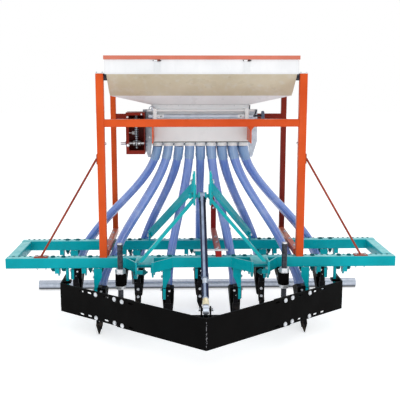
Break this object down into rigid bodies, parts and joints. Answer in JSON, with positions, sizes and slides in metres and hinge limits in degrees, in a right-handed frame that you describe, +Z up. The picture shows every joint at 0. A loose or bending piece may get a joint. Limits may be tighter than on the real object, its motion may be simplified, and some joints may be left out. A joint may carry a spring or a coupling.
{
  "type": "tractor-mounted seed drill",
  "caption": "Tractor-mounted seed drill with a hopper on posts over a metering box, hoses to tynes on a toolbar, a V-shaped levelling blade in front and a drag pipe behind.",
  "frame": {"origin": "on the ground under the middle of the whole machine", "axes": "+Z up, -Y towards the tractor (the hitch and blade side), +X to the right when looking along +Y"},
  "size_m": [2.6, 1.794, 1.8193],
  "materials": {
    "teal_paint": "gloss enamel on rolled steel",
    "orange_paint": "gloss enamel on square tube",
    "brown_red_paint": "red oxide enamel",
    "white_paint": "white enamel on sheet steel",
    "black_paint": "black enamel",
    "bright_steel": "zinc plated or bare turned steel",
    "galvanised": "galvanised pipe",
    "grey_paint": "blue grey enamel",
    "hose": "clear blue plastic hose"
  },
  "bodies": {
    "frame": {"centre_stand": "brown_red_paint", "front_bar": "teal_paint", "front_cross_rail": "orange_paint", "front_hose_1": "hose", "front_hose_2": "hose", "front_hose_3": "hose", "front_hose_4": "hose", "front_hose_5": "hose", "front_hose_6": "hose", "front_hose_7": "hose", "front_hose_8": "hose", "front_hose_9": "hose", "gear_housing": "brown_red_paint", "hopper": "white_paint", "left_base_rail": "orange_paint", "left_end_bar": "teal_paint", "left_end_plate": "galvanised", "left_front_post": "orange_paint", "left_hitch_bracket": "teal_paint", "left_jack_sleeve": "black_paint", "left_mast_brace": "teal_paint", "left_rear_post": "orange_paint", "left_side_stay": "orange_paint", "mast": "teal_paint", "metering_box": "white_paint", "rear_bar": "teal_paint", "rear_cross_rail": "brown_red_paint", "rear_hoses": "hose", "regulator_rod": "bright_steel", "right_base_rail": "orange_paint", "right_end_bar": "teal_paint", "right_end_plate": "galvanised", "right_front_post": "orange_paint", "right_hitch_bracket": "teal_paint", "right_jack_sleeve": "black_paint", "right_mast_brace": "teal_paint", "right_rear_post": "orange_paint", "right_side_stay": "orange_paint", "tyne_1": "black_paint", "tyne_2": "black_paint", "tyne_3": "black_paint", "tyne_4": "black_paint", "tyne_5": "black_paint", "tyne_6": "black_paint", "tyne_7": "black_paint", "tyne_8": "black_paint", "tyne_9": "black_paint"},
    "blade": {"blade_clevis": "black_paint", "left_blade_extension": "black_paint", "left_blade_wing": "black_paint", "left_jack_screw": "bright_steel", "right_blade_extension": "black_paint", "right_blade_wing": "black_paint", "right_jack_screw": "bright_steel"},
    "pipe": {"drag_pipe": "galvanised"},
    "drive": {"drive_shaft": "bright_steel"},
    "feed": {"feed_shaft": "bright_steel"},
    "lid": {"hopper_lid": "orange_paint"},
    "link_barrel": {"link_barrel": "grey_paint"},
    "link_rod": {"link_rod": "bright_steel"}
  },
  "joints": [
    {"name": "blade_lift", "type": "slide", "parent": "frame", "child": "blade", "axis": [0, 0, 1], "range_m": [-0.1, 0.05]},
    {"name": "link_swing", "type": "hinge", "parent": "frame", "child": "link_barrel", "pos_m": [0, -0.172, 0.928], "axis": [1, 0, 0], "range_deg": [-3, 5.5]},
    {"name": "link_slide", "type": "slide", "parent": "link_barrel", "child": "link_rod", "axis": [0, -0.7667, -0.642], "range_m": [-0.034, 0.068]},
    {"name": "lid_hinge", "type": "hinge", "parent": "frame", "child": "lid", "pos_m": [0, -0.13, 1.787], "axis": [1, 0, 0], "range_deg": [0, 105]},
    {"name": "feed_spin", "type": "hinge", "parent": "frame", "child": "feed", "pos_m": [-0.44, 0.194, 1.385], "axis": [1, 0, 0], "continuous": true},
    {"name": "drive_spin", "type": "hinge", "parent": "frame", "child": "drive", "pos_m": [-0.44, 0.194, 1.236], "axis": [1, 0, 0], "continuous": true},
    {"name": "pipe_swing", "type": "hinge", "parent": "frame", "child": "pipe", "pos_m": [0, 0.504, 0.46], "axis": [1, 0, 0], "range_deg": [0, 60]}
  ],
  "couplings": [
    {"joint": "link_swing", "follows": "blade_lift", "rad_per_m": -0.867},
    {"joint": "link_slide", "follows": "blade_lift", "ratio": -0.6575},
    {"joint": "drive_spin", "follows": "feed_spin", "ratio": 1.375}
  ]
}
